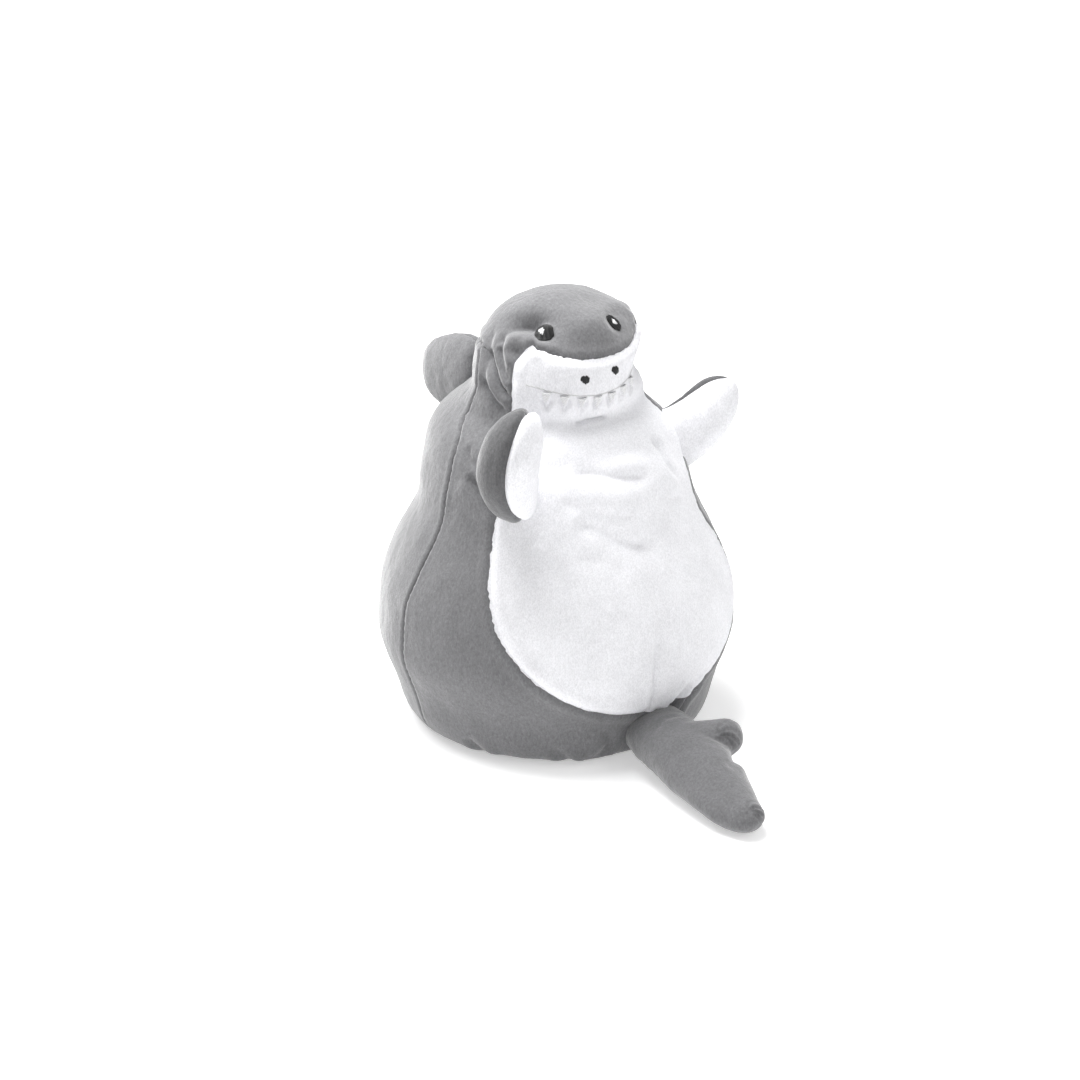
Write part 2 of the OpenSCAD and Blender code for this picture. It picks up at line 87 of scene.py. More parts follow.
# ---------- seeded noise ----------
def lattice(i, j, k, seed):
    n = i * 374761393 + j * 668265263 + k * 1274126177 + seed * 974634777
    n = (n ^ (n >> 13)) * 1103515245 & 0x7FFFFFFF
    return ((n ^ (n >> 16)) & 0xFFFF) / 32767.5 - 1


def noise(P, size, seed):
    """Smooth noise from -1 to 1 at points P, with features about size millimetres wide."""
    q = np.asarray(P, float) / np.asarray(size, float) + 977
    c = np.floor(q).astype(np.int64)
    f = q - c
    f = f * f * (3 - 2 * f)
    total = 0
    for dx in (0, 1):
        for dy in (0, 1):
            for dz in (0, 1):
                w = np.ones(q.shape[:-1])
                for axis, d in enumerate((dx, dy, dz)):
                    w = w * (f[..., axis] if d else 1 - f[..., axis])
                total = total + w * lattice(c[..., 0] + dx, c[..., 1] + dy, c[..., 2] + dz, seed)
    return total


# ---------- the surface of the torso and head ----------
def torso_radius(z):
    rise = np.clip(1 - (1 - np.clip(z / WIDEST_Z, 0, 1)) ** 2, 0, 1)
    low = BASE_R + (TORSO_R - BASE_R) * np.sqrt(rise)
    u = np.clip((z - WIDEST_Z) / (TORSO_H - WIDEST_Z), 0, 1.2)
    return np.where(z < WIDEST_Z, low, TORSO_R - (TORSO_R - NECK_R) * u ** SHOULDER_CURVE)


def head_radius(a, e):
    reach = np.where(np.cos(a) > 0, HEAD_FRONT, HEAD_BACK)
    x = np.abs(np.cos(e) * np.sin(a) / HEAD_W) ** DOME_POWER
    y = np.abs(np.cos(e) * np.cos(a) / reach) ** DOME_POWER
    z = np.abs(np.sin(e) / HEAD_UP) ** DOME_POWER
    return (x + y + z) ** (-1 / DOME_POWER)


def body(a_deg, h):
    """Point of the smooth body at angle a_deg from the front and level h: h is the height up
    to the head's middle, and from there it turns over the crown to TOP_H."""
    a = np.asarray(a_deg, float) * DEG + 0 * np.asarray(h, float)
    h = np.asarray(h, float) + 0 * a
    z = np.minimum(h, HEAD_Z)
    e = np.clip((h - HEAD_Z) / HEAD_UP, 0, 1) * np.pi / 2
    w = smooth((z - NECK_START) / (HEAD_Z - NECK_START))
    front = 0.5 + 0.5 * np.cos(a)
    r = torso_radius(z) * (1 - w) + head_radius(a, 0 * e) * w
    r = r - (1.0 + 3.7 * front) * np.exp(-((z - CHIN_H) / 5.5) ** 2)
    r = r - (4.2 - 3.0 * front) * np.exp(-((z - WAIST_H) / 11) ** 2)
    r = r + (1.45 + 0.4 * front) * np.exp(-((z - HIP_H) / 12) ** 2)
    r = r - 3.2 * np.exp(-((z - SEAT_H) / 13) ** 2)
    r = r + 7 * (1 - front) ** 1.5 * np.exp(-((z - NAPE_BULGE_H) / 9) ** 2) * (1 - smooth((z - 124) / 8))
    r = np.where(e > 0, head_radius(a, e), r)
    centre = LEAN * z / TORSO_H * (1 - w) + HEAD_Y * w
    t = a - HEAD_TURN * DEG * w
    rise = r * np.sin(e) - CROWN_DROP * smooth((e / (np.pi / 2) - 0.45) / 0.4)
    return np.stack([r * np.cos(e) * np.sin(t), centre - r * np.cos(e) * np.cos(t), z + rise], -1)


def body_normal(a, h):
    step = 0.4
    h = np.minimum(np.asarray(h, float), TOP_H - 1.2 * step)
    across = body(a + 1, h) - body(a - 1, h)
    up = body(a, h + step) - body(a, h - step)
    return unit(np.cross(across, up))


def line_on(nodes, steps=16):
    """3-D points of a line drawn through nodes [(angle, level)] on the body."""
    nodes = np.array(nodes, float)
    t = np.linspace(0, len(nodes) - 1, (len(nodes) - 1) * steps + 1)
    k = np.arange(len(nodes))
    a, h = np.interp(t, k, nodes[:, 0]), np.interp(t, k, nodes[:, 1])
    for _ in range(6):
        a[1:-1] = (a[:-2] + 2 * a[1:-1] + a[2:]) / 4
        h[1:-1] = (h[:-2] + 2 * h[1:-1] + h[2:]) / 4
    return body(a, h)


def near(P, line, reach):
    """For points P within reach of the line: their indices, distance and share along it."""
    lo, hi = line.min(0) - reach, line.max(0) + reach
    at = np.nonzero(np.all((P >= lo) & (P <= hi), 1))[0]
    if not len(at):
        return at, np.zeros(0), np.zeros(0)
    best = np.full(len(at), 1e9)
    share = np.zeros(len(at))
    seg = line[1:] - line[:-1]
    for i, (p, s) in enumerate(zip(line[:-1], seg)):
        d = P[at] - p
        t = np.clip(d @ s / max(s @ s, 1e-9), 0, 1)
        dist = np.linalg.norm(d - t[:, None] * s, axis=1)
        closer = dist < best
        best[closer] = dist[closer]
        share[closer] = (i + t[closer]) / len(seg)
    return at, best, share


# Soft folds: nodes, depth, width and how much the fabric puffs up beside the fold
BOTH_SIDES = [
    ([(-97, 134.0), (-88, 131.2), (-80, 127.7), (-69, 124.6)], 2.0, 1.7, 0.3),
    ([(-94, 141.0), (-89, 139.0), (-83, 136.8), (-76, 133.3), (-67, 131.0)], 2.4, 1.7, 0.4),
    ([(-84, 142.4), (-81, 140.6), (-75, 137.3), (-68, 134.9)], 1.8, 1.4, 0.2),
    ([(-85, 145.5), (-81, 142.8), (-78, 140.3), (-73, 138.2), (-67, 137.2)], 1.2, 1.3, 0.2),
    ([(-99, 146), (-94, 141), (-91, 136), (-90, 130)], 0.9, 2.2, 0.2),
    ([(-76, 104.5), (-72, 101.0), (-65, 95.5), (-58, 91.5)], 2.2, 1.8, 0.6),
    ([(-82, 113), (-78, 109), (-71, 107)], 0.9, 1.6, 0.3),
]
FOLDS = [
    ([(-24, 121.4), (-12, 122.3), (4, 122.1)], 1.6, 0.55, 0.2),
    ([(-28, 107.8), (-16, 107.2), (-6, 105.0), (12, 102.0)], 2.3, 2.8, 0.6),
    ([(-28, 91.5), (-18, 88.4), (-10, 83.2), (6, 78.0)], 2.2, 3.2, 0.6),
    ([(-34, 99), (-24, 96.5), (-14, 93), (0, 90)], 1.1, 2.6, 0.3),
    ([(-30, 82), (-18, 77.5), (-8, 73)], 1.0, 3.0, 0.3),
    ([(10, 96), (20, 92), (30, 91)], 0.5, 2.6, 0.3),
    ([(-44, 84), (-36, 80), (-30, 74)], 0.8, 3.0, 0.2),
    ([(-3, 52), (-3.6, 44), (-3.8, 36), (-3, 28), (-3, 20)], 0.9, 0.8, 0.2),
    ([(25, 113.5), (27, 110.0), (26, 104.0), (29, 97.0)], 1.4, 1.3, 0.4),
    ([(14, 26), (9, 22), (6, 15)], 1.6, 1.3, 0.9),
    ([(24, 24), (15, 19), (10, 12)], 1.4, 1.3, 0.8),
    ([(-20, 16), (-17, 9), (-20, 3)], 1.0, 1.6, 0.5),
    ([(-38, 9), (-33, 4), (-30, 0.5)], 0.9, 1.4, 0.5),
    ([(-70, 8), (-66, 4), (-64, 0.5)], 0.8, 1.6, 0.4),
]
# Rolls of fabric that stand up: nodes, height, width
ROLLS = [
    ([(-46, 143.6), (-52, 144.8), (-59, 146.2), (-66, 146.4), (-73, 145.0),
      (-76, 142.4), (-73, 139.9), (-67, 138.6)], 1.5, 2.4),
    ([(58, 148.0), (66, 147.4), (73, 145.4), (76, 142.4), (72, 139.9)], 0.8, 2.4),
]
# Round hollows and bulges: angle, level, depth (a bulge is below zero), radii across and up
HOLLOWS = [
    (-51, 149.4, 2.2, 6.6, 5.4), (-63, 150.6, 3.4, 6.4, 4.4), (-76, 148.2, 2.0, 6.4, 3.8),
    (28, 148.6, 1.0, 4.6, 5.0), (41, 149.6, 1.0, 4.6, 3.6), (60, 149, -1.0, 9, 5),
    (38, 157, 1.3, 9, 6),
    (-6, 149.5, -0.9, 11, 6.5), (0, 135.5, -1.1, 15, 6.0), (-38, 139.5, -0.7, 8, 4),
    (30, 139.5, -0.6, 7, 4), (58, 134.2, 6.0, 17, 7), (-4, 112.5, 3.0, 28, 5.5),
    (-68, 141.8, 1.2, 3.6, 2.2), (-40, 60, -0.9, 22, 26), (40, 58, -0.9, 22, 26),
    (0, 60, -0.6, 20, 24), (-100, 30, -0.9, 24, 20), (-6, 12, 1.0, 10, 7),
]


def belly_half(h, side):
    """Half angle of the white panel at level h, on the shark's right (-1) or left (1)."""
    short = 1 - np.clip((h - BELLY_LOW) / BELLY_ROUND, 0, 1)
    wide = BELLY_A * np.sqrt(np.clip(1 - short * short, 0, 1))
    wide = wide + 6 * smooth((h - 106) / 16)
    if side > 0:
        wide = wide - 17 * np.exp(-((h - 88) / 27) ** 2)
    return wide - 11 * np.clip((h - 138) / (TIP_H[side] - 138), 0, 1) ** 2.4


def back_edge(h):
    """Angle of the seam between a side panel and the back."""
    return np.interp(h, [0, 56, 72, 86, 102, 110, 114.4, 120, 127, 134.7, NAPE_H],
                     [93, 92, 89.5, 87.5, 87, 88, 91, 100, 102, 99, 104])


def muzzle_top(a):
    tip = np.where(a > 0, TIP_H[1], TIP_H[-1])
    return SMILE_H + (tip - SMILE_H) * np.clip(np.abs(a) / TIP_A, 0, 1.1) ** 2.6


def fold_top(a):
    """Level where a side panel ends under the lowest roll of the cheek."""
    return np.interp(a, [60, 67, 76, 83, 89, 97, 106],
                     [CHEEK_H, CHEEK_H, 133.3, 136.8, 139.0, 140.6, NAPE_H])


def mirror(nodes):
    return [(-a, h) for a, h in nodes]


def seam_lines():
    """Every seam: points, depth, width, puff beside it, and whether its stitches show."""
    rise = np.linspace(1, NAPE_H - 0.5, 60)
    round_part = BELLY_LOW + BELLY_ROUND * np.linspace(0.06, 1, 30) ** 2
    lines = []
    for side in (-1, 1):
        upper = np.concatenate([round_part, np.linspace(84, TIP_H[side], 30)])
        lines.append(([(side * back_edge(h), h) for h in rise], 0.75, 0.5, 0.15, True))
        lines.append(([(side * belly_half(h, side), h) for h in upper], 0.6, 1.0, 0.45, False))
    lines.append(([(180, h) for h in np.linspace(1, 140, 50)], 1.0, 0.6, 0.4, True))
    lines.append(([(a, muzzle_top(a)) for a in np.linspace(-TIP_A, TIP_A, 40)], 0.7, 0.9, 0.5, False))
    lines.append(([(a, NAPE_H) for a in np.linspace(105, 255, 40)], 1.0, 0.8, 0.4, True))
    lines.append(([(0, 1), (0, 10), (0, 19)], 0.8, 0.8, 0.3, False))
    return [(body(np.array(n)[:, 0], np.array(n)[:, 1]), d, w, p, s) for n, d, w, p, s in lines]


# Number of teeth, angle of the first and step to the next, and the nodes of the mouth line
TEETH, TOOTH_FIRST, TOOTH_STEP = 7, -43.5, 11.7
MOUTH = [(-57, 135.0), (-52, 134.8), (-46, 134.3), (-38, 133.5), (-30, 132.9), (-22, 132.4),
         (-12, 132.0), (-2, 132.0), (10, 132.6), (22, 133.6), (32, 134.6), (38, 135.2)]


def mouth_level(a):
    m = np.array(MOUTH)
    return np.interp(a, m[:, 0], m[:, 1])


FOLD_LINES = [(line_on(n), d, w, p) for n, d, w, p in FOLDS]
FOLD_LINES += [(line_on(m), d, w, p) for n, d, w, p in BOTH_SIDES for m in (n, mirror(n))]
for i in range(TEETH):
    a0 = TOOTH_FIRST + TOOTH_STEP * i
    top = float(mouth_level(a0))
    groove = line_on([(a0 - 3.6, top - 1.6), (a0 - 0.4, top - 6.6), (a0 + 3.4, top - 1.6)], 10)
    FOLD_LINES.append((groove, 0.9, 0.6, 0.25))
ROLL_LINES = [(line_on(n), d, w) for n, d, w in ROLLS]
SEAMS = seam_lines()


# Eyes and nostrils: angle, level. Their stitching holds the fabric flat
EYES = {"right": (-49, 148.2), "left": (26, 148.3)}
EYE_SIZE = {"right": (3.8, 4.1, 0), "left": (2.7, 3.8, 14)}
FLATS = [(-49, 148.2, -1.5, 4.4), (26, 148.3, -1.2, 4.2), (-18, 136.2, 0.4, 2.4), (6.5, 137.2, 0.4, 2.4)]


def relief(P):
    """How far the fabric stands above the smooth body at points P of it, in millimetres."""
    out = 0.55 * noise(P, 26, 3) + 0.28 * noise(P, 11, 5) + 0.14 * noise(P, 4.5, 7)
    for a, h, depth, across, up in HOLLOWS:
        c = body(a, h)
        n = body_normal(a, h)
        right = unit(np.cross([0, 0, 1.0], n))
        over = np.cross(n, right)
        d = P - c
        q = (d @ right / across) ** 2 + (d @ over / up) ** 2 + (d @ n / (2 * across)) ** 2
        out = out - depth * np.exp(-q)
    for line, height, width in ROLL_LINES:
        at, dist, share = near(P, line, 4 * width)
        fade = np.sqrt(np.clip(np.sin(np.pi * np.clip(share, 0.04, 0.96)), 0, 1))
        out[at] += height * fade * np.exp(-(dist / width) ** 2)
        out[at] -= 0.45 * height * fade * np.exp(-((dist - 2.1 * width) / (0.7 * width)) ** 2)
    for line, depth, width, puff in FOLD_LINES:
        at, dist, share = near(P, line, 6 * width)
        fade = np.clip(np.sin(np.pi * np.clip(share, 0, 1)) * 2.2, 0, 1)
        out[at] -= depth * fade * np.exp(-np.abs(dist / width) ** 1.5)
        out[at] += puff * fade * np.exp(-((dist - 2.6 * width) / (1.5 * width)) ** 2)
    for line, depth, width, puff, stitched in SEAMS:
        at, dist, share = near(P, line, 6 * width)
        length = np.linalg.norm(np.diff(line, axis=0), axis=1).sum()
        beat = 0.5 + 0.5 * np.cos(2 * np.pi * share * length / STITCH_PITCH)
        deep = depth * (0.72 + 0.4 * beat if stitched else 1.0)
        wide = width * (0.85 + 0.4 * beat if stitched else 1.0)
        out[at] -= deep * np.exp(-(dist / wide) ** 2)
        out[at] += puff * np.exp(-((dist - 3 * width) / (2 * width)) ** 2)
    for a, h, level, radius in FLATS:
        w = np.exp(-(np.linalg.norm(P - body(a, h), axis=1) / radius) ** 4)
        out = out * (1 - w) + level * w
    return out


def pile(P, seed=11):
    """Fine unevenness of the short pile."""
    return 0.07 * noise(P, (1.3, 1.3, 2.2), seed) + 0.05 * noise(P, 0.7, seed + 1)


# ---------- meshes ----------
def add_object(name, points, faces, material):
    me = bpy.data.meshes.new(name)
    me.from_pydata(np.asarray(points, float) * MM, [], faces)
    me.validate()
    me.shade_smooth()
    me.materials.append(material)
    obj = bpy.data.objects.new(name, me)
    bpy.context.scene.collection.objects.link(obj)
    return obj


def quads(rows, cols, start=0, wrap=False, flip=False):
    i, j = np.meshgrid(np.arange(rows - 1), np.arange(cols if wrap else cols - 1), indexing="ij")
    k = (j + 1) % cols
    f = np.stack([i * cols + j, i * cols + k, (i + 1) * cols + k, (i + 1) * cols + j], -1).reshape(-1, 4)
    return (f[:, ::-1] if flip else f) + start


def rim(outer, inner):
    """Quads between two matching closed loops of vertex numbers."""
    o, i = np.array(outer), np.array(inner)
    return np.stack([o, i, np.roll(i, -1), np.roll(o, -1)], -1)


def sheet(P, N, thick, wrap=False):
    """Points and faces of a fabric sheet: grid P of its outer side, normals N and thickness."""
    rows, cols = P.shape[:2]
    count = rows * cols
    facing = (np.cross(P[1:, :-1] - P[:-1, :-1], P[:-1, 1:] - P[:-1, :-1]) * N[:-1, :-1]).sum()
    flip = facing > 0
    faces = [quads(rows, cols, 0, wrap, flip), quads(rows, cols, count, wrap, not flip)]
    idx = np.arange(count).reshape(rows, cols)
    if wrap:
        loops = [idx[0], idx[-1][::-1]]
    else:
        loops = [np.concatenate([idx[0, :-1], idx[:-1, -1], idx[-1, :0:-1], idx[:0:-1, 0]])]
    for loop in loops:
        side = rim(loop, loop + count)
        faces.append(side[:, ::-1] if flip else side)
    inside = P - N * thick
    return np.concatenate([P.reshape(-1, 3), inside.reshape(-1, 3)]), np.concatenate(faces)


def shell(name, P, N, thick, material, wrap=False):
    points, faces = sheet(P, N, thick, wrap)
    return add_object(name, points, faces.tolist(), material)


def closed(name, rings, top, bottom, material):
    """A closed solid: rings of points from bottom to top, with a pole at each end."""
    rows, cols = rings.shape[:2]
    points = np.concatenate([rings.reshape(-1, 3), [bottom], [top]])
    faces = quads(rows, cols, 0, True).tolist()
    last = (rows - 1) * cols
    for j in range(cols):
        k = (j + 1) % cols
        faces.append([k, j, rows * cols])
        faces.append([last + j, last + k, rows * cols + 1])
    return add_object(name, points, faces, material)


def skin_panel(name, A, H, material, lift=0.0, wrap=False, seed=11):
    """A panel of the body: grids of angle A and level H, raised by the relief and the pile."""
    base = body(A, H)
    N = body_normal(A, H)
    flat = base.reshape(-1, 3)
    height = relief(flat) + pile(flat, seed)
    height = height.reshape(A.shape) + lift
    floor = smooth(H / 3.0)
    height = height * floor - 0.8 * (1 - floor)
    P = base + N * height[..., None]
    P[..., 2] = np.maximum(P[..., 2], 0.15)
    return shell(name, P, N, PANEL_THICK, material, wrap)


# ---------- materials ----------
class Nodes:
    """Small helper that adds and joins shader nodes."""

    def __init__(self, name):
        self.mat = bpy.data.materials.new(name)
        self.mat.use_nodes = True
        self.tree = self.mat.node_tree
        self.shader = self.tree.nodes["Principled BSDF"]
        self.place = self.add("ShaderNodeTexCoord").outputs["Object"]

    def add(self, kind, **values):
        node = self.tree.nodes.new(kind)
        for key, value in values.items():
            setattr(node, key, value)
        return node

    def link(self, a, b):
        self.tree.links.new(a, b)

    def noise(self, scale, detail=3.0, rough=0.55, stretch=None):
        node = self.add("ShaderNodeTexNoise")
        node.inputs["Scale"].default_value = scale
        node.inputs["Detail"].default_value = detail
        node.inputs["Roughness"].default_value = rough
        source = self.place
        if stretch:
            mapping = self.add("ShaderNodeMapping")
            mapping.inputs["Scale"].default_value = stretch
            self.link(source, mapping.inputs["Vector"])
            source = mapping.outputs["Vector"]
        self.link(source, node.inputs["Vector"])
        return node.outputs["Fac"]

    def ramp(self, value, low, high, start=0.3, end=0.7):
        node = self.add("ShaderNodeValToRGB")
        node.color_ramp.elements[0].position = start
        node.color_ramp.elements[1].position = end
        node.color_ramp.elements[0].color = (*low, 1)
        node.color_ramp.elements[1].color = (*high, 1)
        self.link(value, node.inputs["Fac"])
        return node.outputs["Color"]

    def math(self, kind, a, b):
        node = self.add("ShaderNodeMath", operation=kind)
        for socket, value in zip(node.inputs, (a, b)):
            if isinstance(value, (int, float)):
                socket.default_value = value
            else:
                self.link(value, socket)
        return node.outputs["Value"]

    def mix(self, kind, factor, a, b):
        node = self.add("ShaderNodeMix", data_type="RGBA", blend_type=kind)
        node.inputs["Factor"].default_value = factor
        self.link(a, node.inputs["A"])
        self.link(b, node.inputs["B"])
        return node.outputs["Result"]

    def bump(self, height, strength, distance):
        node = self.add("ShaderNodeBump")
        node.inputs["Strength"].default_value = strength
        node.inputs["Distance"].default_value = distance
        self.link(height, node.inputs["Height"])
        self.link(node.outputs["Normal"], self.shader.inputs["Normal"])

    def color(self, socket):
        self.link(socket, self.shader.inputs["Base Color"])

    def finish(self, rough, sheen=0.0, sheen_rough=0.5, tint=(1, 1, 1), specular=0.5):
        s = self.shader.inputs
        s["Roughness"].default_value = rough
        s["Sheen Weight"].default_value = sheen
        s["Sheen Roughness"].default_value = sheen_rough
        s["Sheen Tint"].default_value = (*tint, 1)
        s["Specular IOR Level"].default_value = specular
        return self.mat


def grey_of(v):
    return (v, v, v * 1.01)


def plush(name, dark, light, sheen, bump):
    """Short brushed pile: broad brushed patches, small tufts and a fine grain."""
    n = Nodes(name)
    patches = n.ramp(n.noise(70, 3, 0.6), grey_of(0.92), grey_of(1.0), 0.32, 0.68)
    tufts = n.ramp(n.noise(1100, 4, 0.7, (1, 1, 0.6)), grey_of(dark), grey_of(light), 0.3, 0.7)
    grain = n.ramp(n.noise(2400, 2, 0.6, (1, 1, 0.6)), grey_of(0.86), grey_of(1.0), 0.35, 0.65)
    n.color(n.mix("MULTIPLY", 1.0, n.mix("MULTIPLY", 1.0, tufts, patches), grain))
    coarse = n.noise(900, 4, 0.7, (1, 1, 0.5))
    fine = n.noise(3200, 2, 0.6, (1, 1, 0.6))
    n.bump(n.math("ADD", coarse, n.math("MULTIPLY", fine, 0.5)), bump, 0.0006)
    return n.finish(0.95, sheen, 0.42, specular=0.15)


def fibre_material():
    n = Nodes("fibre_stuffing")
    tufts = n.noise(260, 6, 0.7)
    n.color(n.ramp(tufts, (0.62, 0.6, 0.55), (0.9, 0.88, 0.84)))
    strands = n.noise(1500, 3, 0.7, (1, 3.5, 0.4))
    n.bump(n.math("ADD", tufts, strands), 0.8, 0.0012)
    return n.finish(0.9, 0.4, 0.6)


def thread_material(name, dark, light, rough, angle, sheen=0.0):
    """Satin stitching: close parallel threads, laid at an angle."""
    n = Nodes(name)
    mapping = n.add("ShaderNodeMapping")
    mapping.inputs["Rotation"].default_value = (0.3, angle, 0.2)
    n.link(n.place, mapping.inputs["Vector"])
    wave = n.add("ShaderNodeTexWave", wave_type="BANDS", bands_direction="X")
    wave.inputs["Scale"].default_value = 700
    wave.inputs["Distortion"].default_value = 2.5
    wave.inputs["Detail"].default_value = 2
    wave.inputs["Detail Scale"].default_value = 1.5
    n.link(mapping.outputs["Vector"], wave.inputs["Vector"])
    n.color(n.ramp(wave.outputs["Fac"], grey_of(dark), grey_of(light), 0.1, 0.9))
    n.bump(wave.outputs["Fac"], 0.6, 0.00025)
    return n.finish(rough, sheen, specular=0.4)


def cloth_material():
    n = Nodes("pouch_cloth")
    for_warp = n.add("ShaderNodeTexWave", bands_direction="X")
    for_weft = n.add("ShaderNodeTexWave", bands_direction="Y")
    for wave in (for_warp, for_weft):
        wave.inputs["Scale"].default_value = 500
        wave.inputs["Distortion"].default_value = 0.6
        n.link(n.place, wave.inputs["Vector"])
    weave = n.math("MULTIPLY", for_warp.outputs["Fac"], for_weft.outputs["Fac"])
    n.color(n.ramp(weave, (0.5, 0.47, 0.4), (0.72, 0.69, 0.6), 0.1, 0.8))
    n.bump(weave, 0.5, 0.0003)
    return n.finish(0.85)


def pellet_material():
    n = Nodes("pellets")
    cells = n.add("ShaderNodeTexVoronoi")
    cells.inputs["Scale"].default_value = 330
    n.link(n.place, cells.inputs["Vector"])
    n.color(n.ramp(cells.outputs["Distance"], (0.72, 0.77, 0.8), (0.3, 0.33, 0.36), 0.0, 0.6))
    n.bump(n.math("SUBTRACT", 1.0, cells.outputs["Distance"]), 1.0, 0.0015)
    return n.finish(0.4)


def floor_material():
    n = Nodes("studio_floor")
    n.color(n.ramp(n.noise(3, 2), (0.93, 0.93, 0.93), (0.95, 0.95, 0.95)))
    n.shader.inputs["Emission Color"].default_value = (1, 1, 1, 1)
    n.shader.inputs["Emission Strength"].default_value = 0.4
    return n.finish(0.9, specular=0.1)


GREY = plush("grey_plush", 0.15, 0.225, 0.6, 0.3)
# Painted shade: the fins' grey panels use a darker copy of the grey plush, which stands in for the shade
# that falls on the fins
SHADED_FIN_GREY = plush("grey_plush_fin_painted_shade", 0.1, 0.15, 0.5, 0.3)
WHITE = plush("white_plush", 0.84, 0.94, 0.15, 0.4)
FIBRE = fibre_material()
BLACK_THREAD = thread_material("black_thread", 0.004, 0.02, 0.42, 0.6)
WHITE_THREAD = thread_material("white_thread", 0.66, 0.9, 0.45, 0.9, 0.1)
# Painted shade: the mouth line is real stitching in white thread, coloured grey here for the shade that
# lies along it
SHADED_LINE_THREAD = thread_material("mouth_thread_painted_shade", 0.58, 0.74, 0.6, 0.9)


# ---------- body panels ----------
def levels(low, high, pitch):
    return np.linspace(low, high, max(2, int(round((high - low) / pitch)) + 1))


def jag(x, seed):
    """Uneven edge of the long white pile, in millimetres."""
    p = np.stack([x, 0 * x, 0 * x], -1)
    return 0.5 + 0.2 * noise(p, 1.5, seed) + 0.3 * noise(p, 0.75, seed + 1)


def both_halves(H, s):
    """Half angle of the white panel over a grid, from s: negative is the right side."""
    H = H + 0 * s
    return np.where(s < 0, belly_half(H, -1), belly_half(H, 1))


def make_belly():
    low = BELLY_LOW + BELLY_ROUND * np.linspace(0.03, 1, 92) ** 2
    low = low[low < NECK_START - 2]
    s = np.linspace(-1, 1, 175)
    s = np.sign(s) * (1 - (1 - np.abs(s)) ** 1.15)
    steps = -(len(low) - np.arange(len(low))) / len(low)
    share = np.concatenate([steps, levels(0, 1, 0.011)])[:, None]
    H = np.where(share < 0, np.interp(share, steps, low), 0) + 0 * s
    start = low[-1] + 0.7
    half = both_halves(H, s)
    for _ in range(3):
        top = muzzle_top(s[None] * half)
        H = np.where(share < 0, H, start + (top - start) * share)
        half = both_halves(H, s)
    over = jag(H, 41) / 50 / DEG
    half = half + over * (0.6 + 0.4 * np.abs(s))
    A = s[None] * half
    edge = np.clip(share, 0, 1) ** 30
    H = H + edge * 0.6 * jag(A * 0.6, 45)
    rise = 0.25 * np.abs(s) ** 12 + 0.2 * edge
    down = smooth((BELLY_LOW + 3 - H) / 3)
    return skin_panel("belly_skin", A, H, WHITE, lift=0.3 + rise + 0.15 * down, seed=21)


def make_side(side):
    low = levels(0.2, BELLY_LOW, 0.8)
    middle = BELLY_LOW + BELLY_ROUND * np.linspace(0.03, 1, 92)[1:] ** 2
    start = middle[-1]
    s = np.linspace(0, 1, 92)[None]
    cheek = levels(0, 1, 0.014)[1:]
    rows = np.concatenate([low, middle, start + 0 * cheek])[:, None]
    share = np.concatenate([0 * low, 0 * middle, cheek])[:, None]
    H = rows + 0 * s
    for _ in range(4):
        front = np.where(H < BELLY_LOW + 0.2, 0, belly_half(H, side) - 0.4)
        back = back_edge(H)
        A = front + (back - front) * s
        H = np.where(share > 0, start + (fold_top(A) - start) * share, rows)
    name = "side_skin_left" if side > 0 else "side_skin_right"
    return skin_panel(name, side * A, H, GREY, seed=31)


def make_back(side):
    s = np.linspace(0, 1, 118)[None]
    H = levels(0.2, NAPE_H, 0.75)[:, None] + 0 * s
    edge = back_edge(H)
    A = edge + (180 - edge) * s
    name = "back_skin_left" if side > 0 else "back_skin_right"
    return skin_panel(name, side * A, H, GREY, seed=37)


def make_crown():
    """The cap of the head. Its lower edge runs along the muzzle, down behind the white
    corner, back along the lowest fold and round the nape."""
    front = np.linspace(0, TIP_A, 62)
    back = np.linspace(66.5, 104, 50)[1:]
    nape = np.linspace(104, 180, 64)[1:]
    fan = np.concatenate([front * 61 / TIP_A, np.linspace(61, 82, 26)[1:],
                          np.linspace(82, 118, 50)[1:], np.linspace(118, 180, 64)[1:]])
    edges = {}
    for side in (-1, 1):
        drop = np.linspace(TIP_H[side], CHEEK_H, 26)[1:]
        a = np.concatenate([front, belly_half(drop, side), back, nape])
        h = np.concatenate([muzzle_top(side * front), drop, fold_top(back), NAPE_H + 0 * nape])
        edges[side] = (side * a, h)
    a = np.concatenate([edges[-1][0][:0:-1], edges[1][0]])[:-1]
    h = np.concatenate([edges[-1][1][:0:-1], edges[1][1]])[:-1]
    fan = np.concatenate([-fan[:0:-1], fan])[:-1]
    t = np.linspace(0, 0.998, 74)[:, None]
    spread = np.sin(np.clip(1.5 * t, 0, 1) * np.pi / 2)
    A = a + (fan - a) * spread
    H = h + (TOP_H - h) * t
    return skin_panel("head_skin", A, H, GREY, wrap=True, seed=43)


def make_base():
    turn = np.arange(0, 360, 2.0)
    reach = BASE_R - 0.9
    rings = []
    for r in np.linspace(0.02, 1, 36):
        fold = 0.12 * np.sin(9 * turn * DEG) * r
        z = 0.12 + 0.25 * (1 - r) + 0 * turn + np.abs(fold) + 0.5 * r ** 30
        rings.append(np.stack([reach * r * np.sin(turn * DEG), -reach * r * np.cos(turn * DEG), z], -1))
    P = np.array(rings)
    N = np.zeros(P.shape)
    N[..., 2] = -1
    return shell("base_skin", P, N, PANEL_THICK, GREY, wrap=True)


# ---------- stuffing ----------
def ring(turn, r, z, y=0.0):
    """A level ring of radius r about (0, y), with a point at each angle of turn."""
    return np.stack([r * np.sin(turn * DEG), y - r * np.cos(turn * DEG), z + 0 * turn], -1)


